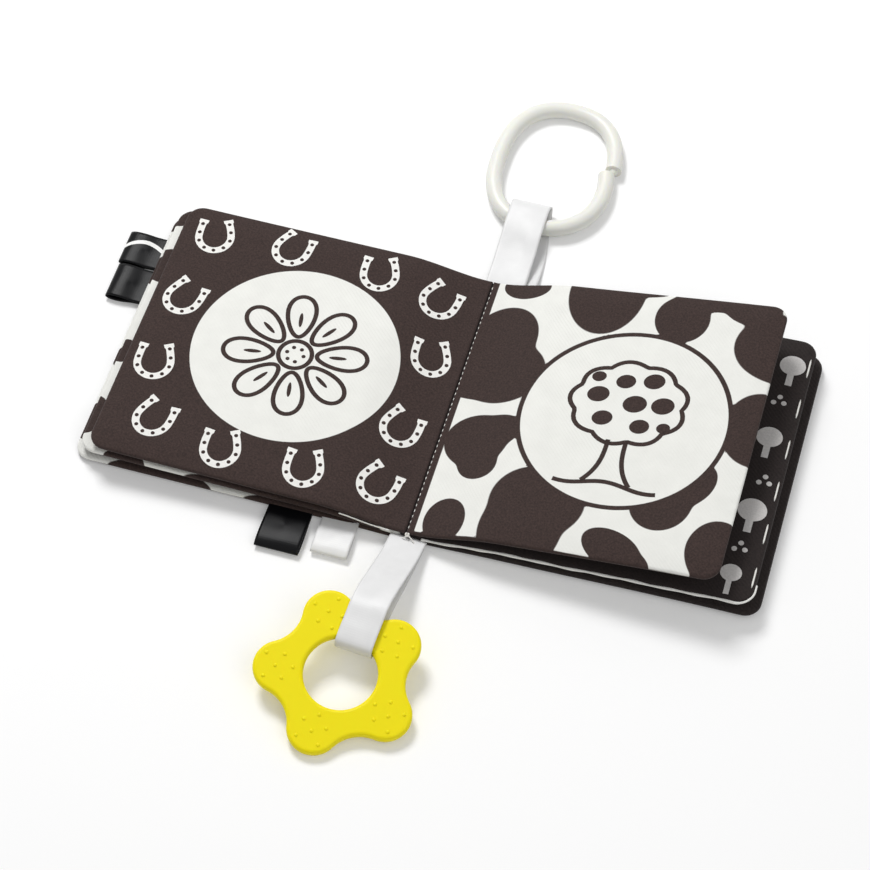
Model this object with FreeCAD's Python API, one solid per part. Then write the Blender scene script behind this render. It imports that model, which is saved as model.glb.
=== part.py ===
import FreeCAD, Part
import math
import os

# Soft cloth baby book lying open, with a link ring and a star teether on ribbons.
#
# Millimetres. +Z is up, the origin is on the surface under the middle of the
# stitched seam, +X runs over the right-hand pages and +Y along the seam, away
# from the reader. Three double-wide padded spreads are stitched together along
# the seam, so three leaves lie on each side of it.

Vector = FreeCAD.Vector

# Leaves
page_length = 150.0
padding = 4.6
seam_thickness = 2.4
leaf_gap = 0.4
corner_radius = 8.0
gutter_taper = 40.0
edge_taper = 12.0
lift_power = 1.3
floor_clearance = 0.1

# Stitched seam that holds the spreads, and the play beside it
seam_width = 5.0
fold_play = 0.3

# Ribbons
ribbon_thickness = 0.6
strap_overhang = 0.3

# Link ring: outer size across and along, rod, place of its middle; the
# squareness is 2 for an ellipse and grows towards a rectangle
ring_across = 66.1
ring_along = 86.1
ring_rod = 8.2
ring_squareness = 2.37
ring_centre = (9.9, 155.0)
ring_rod_lift = 0.9
ring_gap_angle = 9.0
ring_gap = 3.6
ring_spring_in = 3.2
ring_spring_arc = 60.0
ring_ball_radius = 2.3
ring_socket_radius = 2.6
ring_strap_width = 19.5
ring_strap_x = 5.5

# Star teether
star_arms = 5
star_arm_reach = 27.1
star_arm_radius = 12.0
star_valley_reach = 29.1
star_hole = 33.1
star_thickness = 5.0
star_edge_round = 1.8
star_centre = (-6.0, -155.3)
star_turn = 117.7
star_tilt = 12.0
star_lean = 4.0
star_strap_width = 17.4
star_strap_play = 0.4
star_strap_clearance = 0.6
star_strap_turn = 4.6
star_strap_x = 1.7

# side: -1 is left and 1 is right; level counts up from the surface; reach is
# the outer edge's distance from the seam; lift is how far the outer corners
# stand above a flat pile, near and far; skew is how far the outer edge has
# slipped along the seam
leaves = {
    "front_cover": dict(side=-1, level=0, reach=163.0, lift=(0.0, 0.0), bulge=0.0, skew=0.0),
    "left_middle_leaf": dict(side=-1, level=1, reach=160.0, lift=(1.5, 0.5), bulge=0.0, skew=0.5),
    "left_top_leaf": dict(side=-1, level=2, reach=154.5, lift=(3.5, 1.0), bulge=0.0, skew=-0.5),
    "right_top_leaf": dict(side=1, level=2, reach=144.0, lift=(16.0, 25.0), bulge=1.5, skew=1.5),
    "right_middle_leaf": dict(side=1, level=1, reach=160.5, lift=(6.0, 6.0), bulge=0.0, skew=2.5),
    "back_cover": dict(side=1, level=0, reach=164.5, lift=(0.8, 0.8), bulge=0.0, skew=3.0),
}

# Ribbon tags: the edge of the front cover that holds them, their middle along
# that edge, width, how far they stand out and how high their loop opens
tags = {
    "side_tag_upper": dict(edge="outer", place=48.5, width=19.0, out=19.0, opening=2.6),
    "side_tag_lower": dict(edge="outer", place=27.5, width=20.0, out=18.0, opening=3.0),
    "bottom_tag_black": dict(edge="near", place=-55.5, width=21.0, out=23.0, opening=2.4),
    "bottom_tag_white": dict(edge="near", place=-31.5, width=17.5, out=19.0, opening=2.4),
}

# Lengths that differ by less are taken as equal
tolerance = 0.01

half_length = page_length / 2
half_seam = seam_width / 2
seam_height = 3 * seam_thickness + 2 * leaf_gap
cover_middle = padding / 2 + floor_clearance


def smooth_step(distance, taper):
    s = min(max(distance / taper, 0.0), 1.0)
    return s * s * (3 - 2 * s)


def sine_rise(distance, taper):
    return math.sin(math.pi / 2 * min(max(distance / taper, 0.0), 1.0))


def place(shape, origin, turn=0.0):
    """Turn a shape about Z by degrees, then move it to the origin given."""
    placed = shape.copy()
    placed.rotate(Vector(0, 0, 0), Vector(0, 0, 1), turn)
    placed.translate(Vector(*origin))
    return placed


def leaf_root(side, level):
    """Distance of a leaf's stitched edge from the middle of the seam."""
    hinged = side < 0 or level == 0
    return half_seam + (fold_play if hinged else 0.0)


def leaf_stations(width):
    """Distances from the seam and half lengths of the sections of one leaf."""
    flat = [0, 0.12, 0.28, 0.5, 0.75, 1.0]
    stations = [(gutter_taper * f, half_length) for f in flat]
    straight = width - corner_radius
    for share in (0.35, 0.7):
        stations.append((gutter_taper + share * (straight - gutter_taper), half_length))
    stations.append((width - 1.3 * edge_taper, half_length))
    for step in range(5):
        angle = math.radians(22.5 * step)
        reach = straight + corner_radius * math.sin(angle)
        stations.append((reach, half_length - corner_radius * (1 - math.cos(angle))))
    return stations


def leaf_section(spec, width, distance, half):
    """Closed outline across a leaf, along the seam, at one distance from it."""
    side, level = spec["side"], spec["level"]
    root_middle = (level + 0.5) * seam_thickness + level * leaf_gap
    pile_middle = cover_middle + level * (padding + leaf_gap)
    share = distance / width
    rest = root_middle + (pile_middle - root_middle) * smooth_step(distance, gutter_taper)
    along = smooth_step(distance, gutter_taper) * sine_rise(width - distance, edge_taper)
    spots = [half * mark for mark in leaf_marks()]
    near, far = spec["lift"]
    top, bottom = [], []
    for spot in spots:
        lift = near + (far - near) * (spot / half_length + 1) / 2
        middle = rest + lift * share ** lift_power + spec["bulge"] * 4 * share * (1 - share)
        thick = seam_thickness
        thick += (padding - seam_thickness) * along * sine_rise(half - abs(spot), edge_taper)
        x = side * (leaf_root(side, level) + distance)
        y = spot + spec["skew"] * smooth_step(share, 1.0)
        top.append(Vector(x, y, middle + thick / 2))
        bottom.append(Vector(x, y, middle - thick / 2))
    return closed_outline(top, bottom, [(mark + 1) / 2 for mark in leaf_marks()])


def leaf_marks():
    """Places of a section's points along the seam, as shares of its half length."""
    inset = [d / half_length for d in (0.0, edge_taper / 4, edge_taper / 2, edge_taper, half_length / 2)]
    return [d - 1 for d in inset] + [0.0] + [1 - d for d in reversed(inset)]


def closed_outline(top, bottom, marks):
    """Wire of two smooth curves through the points, joined by straight ends."""
    upper, lower = Part.BSplineCurve(), Part.BSplineCurve()
    upper.interpolate(Points=top, Parameters=marks)
    lower.interpolate(Points=bottom[::-1], Parameters=[1 - m for m in marks[::-1]])
    edges = [
        upper.toShape(),
        Part.LineSegment(top[-1], bottom[-1]).toShape(),
        lower.toShape(),
        Part.LineSegment(bottom[0], top[0]).toShape(),
    ]
    return Part.Wire(edges)


def leaf(spec):
    """Padded leaf, lofted through its sections from the seam outwards."""
    width = spec["reach"] - leaf_root(spec["side"], spec["level"])
    sections = [leaf_section(spec, width, d, half) for d, half in leaf_stations(width)]
    return Part.makeLoft(sections, True, False)


def seam():
    """Strip in which the three spreads are stitched together."""
    strip = Part.makeBox(seam_width, page_length + 2 * strap_overhang, seam_height)
    strip.translate(Vector(-half_seam, -half_length - strap_overhang, 0))
    ends = [e for e in strip.Edges if abs(e.Vertexes[0].Z - e.Vertexes[1].Z) < tolerance
            and e.Vertexes[0].Z > seam_height / 2 and abs(e.Vertexes[0].X - e.Vertexes[1].X) < tolerance]
    return strip.makeFillet(seam_thickness / 2, ends)


def ribbon(route, width):
    """Ribbon whose middle follows the (out, height) points, centred on Y = 0."""
    middle = Part.BSplineCurve()
    middle.interpolate([Vector(out, 0, height) for out, height in route])
    upper, lower = [], []
    steps = 3 * len(route)
    for step in range(steps + 1):
        mark = middle.FirstParameter + (middle.LastParameter - middle.FirstParameter) * step / steps
        normal = middle.tangent(mark)[0].cross(Vector(0, 1, 0)).normalize()
        upper.append(middle.value(mark) + normal * (ribbon_thickness / 2))
        lower.append(middle.value(mark) - normal * (ribbon_thickness / 2))
    marks = [step / steps for step in range(steps + 1)]
    profile = Part.Face(closed_outline(upper, lower, marks))
    band = profile.extrude(Vector(0, width, 0))
    band.translate(Vector(0, -width / 2, 0))
    return band


def tag(spec):
    """Folded ribbon tag, stitched into an edge of the front cover."""
    ply = (ribbon_thickness + fold_play) / 2
    rise = spec["opening"] / 2 + ribbon_thickness / 2
    out = spec["out"] - ribbon_thickness / 2
    half_loop = [(0, ply), (0.25 * out, ply + 0.15 * rise), (0.6 * out, rise), (0.88 * out, 0.85 * rise)]
    route = half_loop + [(out, 0)] + [(s, -h) for s, h in reversed(half_loop)]
    band = ribbon(route, spec["width"])
    if spec["edge"] == "outer":
        return place(band, (-leaves["front_cover"]["reach"], spec["place"], cover_middle), 180)
    return place(band, (spec["place"], -half_length, cover_middle), -90)


def strap_exit():
    """Height of the slot between the cover and the next spread."""
    return seam_thickness + leaf_gap + seam_thickness / 2


def strap_route(over, fold, under):
    """Route out of the seam, over what hangs there, round the fold and back below."""
    ply = (ribbon_thickness + fold_play) / 2
    return [(0, strap_exit() + ply)] + over + [fold] + under + [(0, strap_exit() - ply)]


def ring_strap():
    """White ribbon from the far end of the seam round the ring's rod."""
    rod_top = ring_rod_lift + ring_rod
    rod_place = ring_centre[1] - (ring_along - ring_rod) / 2 - half_length - strap_overhang
    lying = ribbon_thickness / 2 + floor_clearance / 2
    over = [(0.2, 0.52), (0.55, 0.73), (0.8, 1.01), (0.93, 1.09), (1.05, 1.11), (1.2, 1.08)]
    under = [(1.29, 0.2), (1.17, 0.06), (1.0, 0.04), (0.7, 0.05), (0.4, 0.13), (0.18, 0.3)]
    over = [(out * rod_place, height * rod_top) for out, height in over]
    under = [(out * rod_place, max(height * rod_top, lying)) for out, height in under]
    fold = (1.33 * rod_place, ring_rod_lift + ring_rod / 2)
    band = ribbon(strap_route(over, fold, under), ring_strap_width)
    return place(band, (ring_strap_x, half_length + strap_overhang, 0), 90)


def ring_path(angle):
    """Point of the rod's middle line, a squarish oval; the last stretch springs inwards."""
    across, along = (ring_across - ring_rod) / 2, (ring_along - ring_rod) / 2
    turn = math.radians(angle)
    sides = abs(math.cos(turn) / across) ** ring_squareness + abs(math.sin(turn) / along) ** ring_squareness
    spring_from = 360 + ring_gap_angle - ring_spring_arc
    inward = ring_spring_in * max(0.0, (angle - spring_from) / ring_spring_arc) ** 2
    reach = sides ** (-1 / ring_squareness) - inward
    return Vector(reach * math.cos(turn), reach * math.sin(turn), 0)


def link_ring():
    """Oval snap link: a ball on one end of the rod faces a socket in the other."""
    gap_share = math.degrees(ring_gap / (ring_across / 2))
    first, last = ring_gap_angle + gap_share / 2, 360 + ring_gap_angle - gap_share / 2
    steps = 24
    points = [ring_path(first + (last - first) * step / steps) for step in range(steps + 1)]
    line = Part.BSplineCurve()
    line.interpolate(points)
    path = Part.Wire(line.toShape())
    start, finish = points[0], points[-1]
    start_way = line.tangent(line.FirstParameter)[0].normalize()
    finish_way = line.tangent(line.LastParameter)[0].normalize()
    rod = path.makePipeShell([Part.Wire(Part.makeCircle(ring_rod / 2, start, start_way))], True, False)
    ball = Part.makeSphere(ring_ball_radius, start)
    socket = Part.makeSphere(ring_socket_radius, finish)
    solid = rod.fuse(ball).cut(socket)
    sag = math.degrees(math.asin(ring_rod_lift / (ring_along - ring_rod)))
    solid.rotate(Vector(0, -(ring_along - ring_rod) / 2, 0), Vector(1, 0, 0), -sag)
    return place(solid, (ring_centre[0], ring_centre[1], ring_rod_lift + ring_rod / 2))


def star_outline():
    """Outline of round arms joined by hollow arcs that touch them."""
    share = math.pi / star_arms
    reach = star_arm_reach * math.cos(share)
    top = star_arm_radius ** 2 - star_valley_reach ** 2 - star_arm_reach ** 2 + 2 * reach * star_valley_reach
    hollow = top / (2 * (star_valley_reach - reach - star_arm_radius))
    edges = []
    for arm in range(star_arms):
        angle = 2 * share * arm
        cap = polar(star_arm_reach, angle)
        before = polar(star_valley_reach + hollow, angle - share)
        after = polar(star_valley_reach + hollow, angle + share)
        next_cap = polar(star_arm_reach, angle + 2 * share)
        cap_start = cap + (before - cap).normalize() * star_arm_radius
        cap_end = cap + (after - cap).normalize() * star_arm_radius
        next_start = next_cap + (after - next_cap).normalize() * star_arm_radius
        edges.append(Part.Arc(cap_start, polar(star_arm_reach + star_arm_radius, angle), cap_end).toShape())
        edges.append(Part.Arc(cap_end, polar(star_valley_reach, angle + share), next_start).toShape())
    return Part.Wire(edges)


def polar(reach, angle):
    return Vector(reach * math.cos(angle), reach * math.sin(angle), 0)


def star_rises():
    """Height gained per millimetre of the plate itself, along its own X and Y."""
    tilt, lean = math.radians(star_tilt), math.radians(star_lean)
    return -math.sin(lean), math.cos(lean) * math.sin(tilt)


def star_middle_height():
    """Height of the plate's middle when its lowest arm rests on the surface."""
    rise_x, rise_y = star_rises()
    steepest = math.hypot(rise_x, rise_y)
    arms = [polar(star_arm_reach, math.radians(star_turn) + arm * 2 * math.pi / star_arms) for arm in range(star_arms)]
    lowest = min(arm.x * rise_x + arm.y * rise_y for arm in arms)
    upright = math.sqrt(1 - steepest ** 2)
    return star_thickness / 2 * upright - lowest + star_arm_radius * steepest


def star_teether():
    """Soft plate with rounded arms and a round hole, held up at one side by its ribbon."""
    plate = Part.Face(star_outline()).extrude(Vector(0, 0, star_thickness))
    plate = plate.cut(Part.makeCylinder(star_hole / 2, star_thickness))
    rims = [e for e in plate.Edges if abs(e.BoundBox.ZLength) < tolerance]
    plate = plate.makeFillet(star_edge_round, rims)
    plate.translate(Vector(0, 0, -star_thickness / 2))
    plate.rotate(Vector(0, 0, 0), Vector(0, 0, 1), star_turn)
    plate.rotate(Vector(0, 0, 0), Vector(1, 0, 0), star_tilt)
    plate.rotate(Vector(0, 0, 0), Vector(0, 1, 0), star_lean)
    return place(plate, (star_centre[0], star_centre[1], star_middle_height()))


def star_strap():
    """White ribbon from the near end of the seam through the teether's hole."""
    turn = math.radians(star_strap_turn)
    heading = Vector(-math.sin(turn), -math.cos(turn), 0)
    start = Vector(star_strap_x, -half_length - strap_overhang, 0)
    to_centre = Vector(star_centre[0], star_centre[1], 0) - start
    reach = to_centre.dot(heading)
    rise_x, rise_y = star_rises()
    upright = math.sqrt(1 - rise_x ** 2 - rise_y ** 2)
    slope = Vector(rise_x / upright, rise_y / upright, 0)
    half_plate = star_thickness / 2 / upright
    across = Vector(heading.y, -heading.x, 0)
    cant = abs(slope.dot(across)) * star_strap_width / 2
    clearance = star_strap_clearance + cant

    def plate(out):
        return star_middle_height() + slope.dot(heading * out - to_centre)

    rim = reach - star_hole / 2
    widest = star_strap_width / 2 + abs(to_centre.dot(across)) + star_strap_play
    side = reach - math.sqrt((star_hole / 2) ** 2 - widest ** 2)
    top, bottom = half_plate + clearance, -half_plate - clearance
    crest = plate(0.76 * rim) + top
    over = [(0.2 * rim, 0.36 * crest), (0.45 * rim, 0.7 * crest), (0.64 * rim, 0.95 * crest), (0.76 * rim, crest)]
    over += [(out * rim, plate(out * rim) + top) for out in (0.87, 0.98)]
    over += [(side + star_strap_play, plate(side) + 0.7 * top)]
    fold = (side + 2.5 * star_strap_play, plate(side))
    under = [(side + star_strap_play, plate(side) + 0.7 * bottom)]
    under += [(out * rim, plate(out * rim) + bottom) for out in (0.98, 0.86)]
    under += [(0.6 * rim, 0.47 * crest), (0.35 * rim, 0.3 * crest), (0.15 * rim, 0.2 * crest)]
    band = ribbon(strap_route(over, fold, under), star_strap_width)
    band = place(band, (start.x, start.y, 0), -90 - star_strap_turn)
    beyond = 2 * page_length
    room = Part.makeBox(beyond, beyond, beyond, Vector(-beyond / 2, start.y - beyond, -beyond / 2))
    return band.common(room)


def build():
    parts = {name: leaf(spec) for name, spec in leaves.items()}
    parts["stitched_seam"] = seam()
    for name, spec in tags.items():
        parts[name] = tag(spec)
    parts["ring_strap"] = ring_strap()
    parts["link_ring"] = link_ring()
    parts["teether_strap"] = star_strap()
    parts["star_teether"] = star_teether()
    return parts


os.makedirs("parts", exist_ok=True)
for name, shape in build().items():
    shape.exportStep("parts/" + name + ".step")
    box = shape.BoundBox
    print(name, shape.isValid(), len(shape.Solids), round(shape.Volume / 1000, 2), "cm3",
          [round(v, 1) for v in (box.XMin, box.XMax, box.YMin, box.YMax, box.ZMin, box.ZMax)])
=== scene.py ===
# %% [markdown]
# This lesson dresses a soft cloth baby book that lies open on a white table.
# The CAD model gives every piece its place and size. Blender adds what cloth,
# ribbon and rubber look like: rounded sewn edges, print, thread and sheen.
# The scene starts by loading that model as a fixed frame, in metres.

# %% Load the frame
import math

import bmesh
import bpy
import numpy as np
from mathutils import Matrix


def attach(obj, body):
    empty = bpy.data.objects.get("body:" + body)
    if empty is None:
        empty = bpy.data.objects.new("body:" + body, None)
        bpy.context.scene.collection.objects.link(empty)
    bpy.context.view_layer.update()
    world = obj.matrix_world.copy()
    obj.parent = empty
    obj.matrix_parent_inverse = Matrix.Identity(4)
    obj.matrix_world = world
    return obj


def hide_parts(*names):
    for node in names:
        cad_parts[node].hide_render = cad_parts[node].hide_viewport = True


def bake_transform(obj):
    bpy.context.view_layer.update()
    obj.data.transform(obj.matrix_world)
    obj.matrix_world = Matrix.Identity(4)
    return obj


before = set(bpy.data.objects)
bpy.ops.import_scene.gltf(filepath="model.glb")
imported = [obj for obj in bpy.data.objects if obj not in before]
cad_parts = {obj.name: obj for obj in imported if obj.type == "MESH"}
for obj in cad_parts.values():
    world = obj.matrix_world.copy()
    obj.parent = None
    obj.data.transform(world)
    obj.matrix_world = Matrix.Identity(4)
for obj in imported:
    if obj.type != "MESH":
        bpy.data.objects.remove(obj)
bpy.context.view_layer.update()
MM = 0.001

# %% [markdown]
# The photograph was taken from in front of the book, a little to its right and
# from well above, with a long lens that keeps the pages nearly parallel. The
# camera stands at that angle. Its place follows from the direction, the
# distance and the point it looks at, so each can be changed by itself.

# %% Camera
photo_size = 870
focal_pixels = 2670
view_turn = math.radians(16.26)
view_height = math.radians(56.0)
view_distance = 1261 * MM
view_target = np.array([-3.57, -14.72, 0.0]) * MM

away = np.array([
    math.sin(view_turn) * math.cos(view_height),
    -math.cos(view_turn) * math.cos(view_height),
    math.sin(view_height),
])
lens = bpy.data.cameras.new("camera")
lens.sensor_width = 36
lens.lens = lens.sensor_width * focal_pixels / photo_size
camera = bpy.data.objects.new("camera", lens)
bpy.context.scene.collection.objects.link(camera)
camera.location = view_target + away * view_distance
camera.rotation_euler = (math.pi / 2 - view_height, 0, view_turn)
bpy.context.scene.camera = camera
print("camera stands at", [round(v, 3) for v in camera.location], "lens", round(lens.lens, 1), "mm")

# %% [markdown]
# Every surface here is a grid: an array of points with rows and columns. One
# helper turns a list of grids into one mesh. Quads join each point to its
# neighbours, and a closed direction joins the last row or column to the first.
# The last helper stores how far inside the print each point lies.

# %% Grids become meshes


def grid_faces(rows, columns, start, closed_rows=False, closed_columns=False):
    """Quads of a grid whose points are numbered row by row from start."""
    number = np.arange(rows * columns).reshape(rows, columns) + start
    if closed_rows:
        number = np.vstack([number, number[:1]])
    if closed_columns:
        number = np.hstack([number, number[:, :1]])
    corners = [number[:-1, :-1], number[1:, :-1], number[1:, 1:], number[:-1, 1:]]
    return np.stack([c.ravel() for c in corners], axis=1)


def make_piece(name, points, faces, smooth=True):
    """Object whose mesh has these points, in millimetres, and these quads."""
    mesh = bpy.data.meshes.new(name)
    mesh.from_pydata((np.asarray(points) * MM).tolist(), [], np.asarray(faces).tolist())
    mesh.validate()
    mesh.polygons.foreach_set("use_smooth", np.full(len(mesh.polygons), smooth))
    mesh.update()
    piece = bpy.data.objects.new(name, mesh)
    bpy.context.scene.collection.objects.link(piece)
    return piece


def make_grids(name, grids, closed_rows=False, closed_columns=False):
    """One object from several grids of points, rows x columns x 3."""
    points, faces, start = [], [], 0
    for grid in grids:
        rows, columns = grid.shape[:2]
        points.append(grid.reshape(-1, 3))
        faces.append(grid_faces(rows, columns, start, closed_rows, closed_columns))
        start += rows * columns
    return make_piece(name, np.vstack(points), np.vstack(faces))


def set_ink(piece, values):
    """Ink values on a piece's points: one for each, or the same for all."""
    attribute = piece.data.attributes.new("ink", "FLOAT", "POINT")
    spread = np.broadcast_to(np.asarray(values, np.float32), len(piece.data.vertices))
    attribute.data.foreach_set("value", np.ascontiguousarray(spread))


print("grid helpers ready")

# %% [markdown]
# Colours are written the way a paint program shows them, as sRGB hex, and one
# function turns them to the linear values that the renderer works in. One
# small function adds a node with its settings and links.

# %% Colours and nodes


def linear(hex_code):
    """sRGB hex as linear RGBA: the low end is a straight line, the rest a power of 2.4."""
    parts = [int(hex_code[i:i + 2], 16) / 255 for i in (1, 3, 5)]
    return [c / 12.92 if c <= 0.04045 else ((c + 0.055) / 1.055) ** 2.4 for c in parts] + [1.0]


def add_node(tree, kind, values=None, links=None, **settings):
    """Add one node: settings are its properties, values its sockets, links what feeds them."""
    node = tree.nodes.new(kind)
    for name, setting in settings.items():
        setattr(node, name, setting)
    for socket, value in (values or {}).items():
        node.inputs[socket].default_value = value
    for socket, source in (links or {}).items():
        tree.links.new(source, node.inputs[socket])
    return node


def new_material(name):
    """Empty material with its output node."""
    material = bpy.data.materials.new(name)
    material.use_nodes = True
    material.node_tree.nodes.clear()
    return material, material.node_tree, add_node(material.node_tree, "ShaderNodeOutputMaterial")


print("mid grey in linear light:", round(linear("#808080")[0], 3))

# %% [markdown]
# The pages are printed polyester microfibre over a thin wad. A print changes
# only the colour, so one cloth serves every page: an attribute on the mesh says
# how far inside the ink a point is, in millimetres, and the material turns that
# into a crisp edge. The weave is a twill of fine diagonal ribs. Its threads are
# about 0.3 mm apart, too fine to show here, so the ribs are drawn 1.1 mm apart.

# %% Printed cloth
thread_ribs = 1.1 * MM
mottle_size = 9 * MM
fleck_size = 0.9 * MM
ink_edge = 0.12


def wave_scale(spacing):
    """Scale of a wave texture whose bands lie this far apart: it repeats every 0.314 / scale."""
    return 0.314 / spacing


def uneven(tree, place, colour, size, detail, low, high):
    """Colour times a soft noise of this size, which goes from low to high."""
    mottle = add_node(tree, "ShaderNodeTexNoise", {"Scale": 1 / size, "Detail": detail}, {"Vector": place})
    shade = add_node(tree, "ShaderNodeMapRange", {"To Min": low, "To Max": high}, {"Value": mottle.outputs["Fac"]})
    return add_node(tree, "ShaderNodeVectorMath", links={0: colour, 1: shade.outputs["Result"]},
                    operation="MULTIPLY").outputs["Vector"]


def cloth_material(name, ground, ink, rib_depth=0.5, flecks=0.38):
    """Matt woven polyester: ground colour, and ink where the attribute is above zero."""
    material, tree, output = new_material(name)
    place = add_node(tree, "ShaderNodeTexCoord").outputs["Object"]
    inked = add_node(tree, "ShaderNodeAttribute", attribute_name="ink").outputs["Fac"]
    edge = add_node(tree, "ShaderNodeMapRange", {"From Min": -ink_edge, "From Max": ink_edge}, {"Value": inked})
    fuzz = add_node(tree, "ShaderNodeTexNoise", {"Scale": 1 / fleck_size, "Detail": 3.0}, {"Vector": place})
    fleck = add_node(tree, "ShaderNodeMapRange",
                     {"From Min": 0.25, "From Max": 0.75, "To Min": 1 - flecks, "To Max": 1 + flecks},
                     {"Value": fuzz.outputs["Fac"]})
    flecked = add_node(tree, "ShaderNodeVectorMath", {0: linear(ink)[:3]}, {1: fleck.outputs["Result"]},
                       operation="MULTIPLY")
    print_mix = add_node(tree, "ShaderNodeMix", {6: linear(ground)},
                         {"Factor": edge.outputs["Result"], 7: flecked.outputs["Vector"]}, data_type="RGBA")
    shaded = uneven(tree, place, print_mix.outputs[2], mottle_size, detail=4.0, low=0.93, high=1.05)
    ribs = add_node(tree, "ShaderNodeTexWave", {"Scale": wave_scale(thread_ribs), "Distortion": 0.6, "Detail": 1.0},
                    {"Vector": place}, wave_type="BANDS", bands_direction="DIAGONAL")
    relief = add_node(tree, "ShaderNodeMath", links={0: ribs.outputs["Fac"], 1: fuzz.outputs["Fac"]}, operation="ADD")
    bump = add_node(tree, "ShaderNodeBump", {"Strength": rib_depth, "Distance": 0.12 * MM},
                    {"Height": relief.outputs["Value"]})
    shader = add_node(tree, "ShaderNodeBsdfPrincipled",
                      {"Roughness": 0.85, "Sheen Weight": 0.08, "Sheen Roughness": 0.5, "Specular IOR Level": 0.25},
                      {"Base Color": shaded, "Normal": bump.outputs["Normal"]})
    tree.links.new(shader.outputs["BSDF"], output.inputs["Surface"])
    return material


dark_ink = "#382b28"
white_ground = "#eeeee9"
printed_cloth = cloth_material("printed_polyester_cloth", white_ground, dark_ink)
blacker_cloth = cloth_material("blacker_polyester_cloth", white_ground, "#231c1b")
print("cloth ribs every", thread_ribs / MM, "mm, ink edge", ink_edge, "mm wide")

# %% [markdown]
# A leaf is two cloths sewn face to face, turned out and filled with thin wad.
# It could be a box with a bevel, but a sewn edge is round and the middle is
# fuller. So top and bottom are one height formula each, and they meet along
# the outline, where the thickness falls to nothing the way a circle does.
# The driving sizes are those of the CAD solids, in millimetres.

# %% Sizes of the leaves
half_length = 75.0
padding = 4.6
seam_thickness = 2.4
leaf_gap = 0.4
corner_radius = 8.0
gutter_taper = 40.0
edge_taper = 12.0
lift_power = 1.3
half_seam = 2.5
fold_play = 0.3
cover_middle = padding / 2 + 0.1
edge_roll = seam_thickness / 2
bend_end = 4.2
hinge_step = 0.3
wave_height = 0.28
gather_height = 0.16
gather_fade = 3.0

leaves = {
    "front_cover": dict(side=-1, level=0, reach=163.0, lift=(0.0, 0.0), bulge=0.0, skew=0.0),
    "left_middle_leaf": dict(side=-1, level=1, reach=160.0, lift=(1.5, 0.5), bulge=0.0, skew=0.5),
    "left_top_leaf": dict(side=-1, level=2, reach=154.5, lift=(3.5, 1.0), bulge=0.0, skew=-0.5),
    "right_top_leaf": dict(side=1, level=2, reach=144.0, lift=(16.0, 25.0), bulge=1.5, skew=1.5),
    "right_middle_leaf": dict(side=1, level=1, reach=160.5, lift=(6.0, 6.0), bulge=0.0, skew=2.5),
    "back_cover": dict(side=1, level=0, reach=164.5, lift=(0.8, 0.8), bulge=0.0, skew=3.0),
}
print(len(leaves), "leaves,", seam_thickness, "mm thick at the seam and", padding, "mm in the middle")

# %% [markdown]
# The height of a leaf is a sum of simple curves over two lengths: the distance
# from the seam outwards, and the spot along the seam. The middle of the leaf
# rises from the seam to the height of its pile, and on towards the free edge.
# Half the thickness goes above it and half below. The top has soft puckers too.

# %% Shape of a leaf


def smooth_step(distance, taper):
    """0 to 1 over the taper, level at both ends: 3 s squared minus 2 s cubed."""
    s = np.clip(distance / taper, 0, 1)
    return s * s * (3 - 2 * s)


def sine_rise(distance, taper):
    """0 to 1 over the taper along a quarter of a sine."""
    return np.sin(math.pi / 2 * np.clip(distance / taper, 0, 1))


def circle_rise(distance, radius):
    """Height of a quarter circle of this radius, as a share of it."""
    s = np.clip(distance / radius, 0, 1)
    return np.sqrt(1 - (1 - s) ** 2)


def leaf_root(leaf):
    """Where a leaf leaves the seam: the ones that turn stand a little further out."""
    return half_seam + (fold_play if leaf["side"] < 0 or leaf["level"] == 0 else 0.0)


def leaf_inner(leaf):
    """The two top leaves run on into the stitched valley; the others stop at the seam."""
    return 0.3 - leaf_root(leaf) if leaf["level"] == 2 else 0.0


def edge_distance(leaf, distance, spot):
    """How far inside the outline a point is, with the outer corners rounded."""
    width = leaf["reach"] - leaf_root(leaf)
    over_x = distance - (width - corner_radius)
    over_y = np.abs(spot) - (half_length - corner_radius)
    corner = np.hypot(np.maximum(over_x, 0), np.maximum(over_y, 0))
    outer = corner_radius - corner - np.minimum(np.maximum(over_x, over_y), 0)
    return np.maximum(np.minimum(outer, distance - leaf_inner(leaf)), 0)


def puckers(leaf, distance, spot, edge):
    """Soft waves across a page, and short gathers that die out within a few times gather_fade
    from the sewn edge. Both are sines, and a slower sine keeps the gathers uneven."""
    phase = 1.7 * leaf["level"] + leaf["side"]
    broad = wave_height * np.sin(distance / 19 + phase) * np.sin(spot / 23 + 2 * phase)
    along = np.where(edge_distance(leaf, distance, 0 * spot) > edge + 0.5, distance, spot)
    short = gather_height * np.sin(along / 1.35 + 1.3 * np.sin(along / 7.0 + phase)) * np.exp(-edge / gather_fade)
    return broad * smooth_step(edge, 20.0) + short * smooth_step(edge, 1.5)


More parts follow.
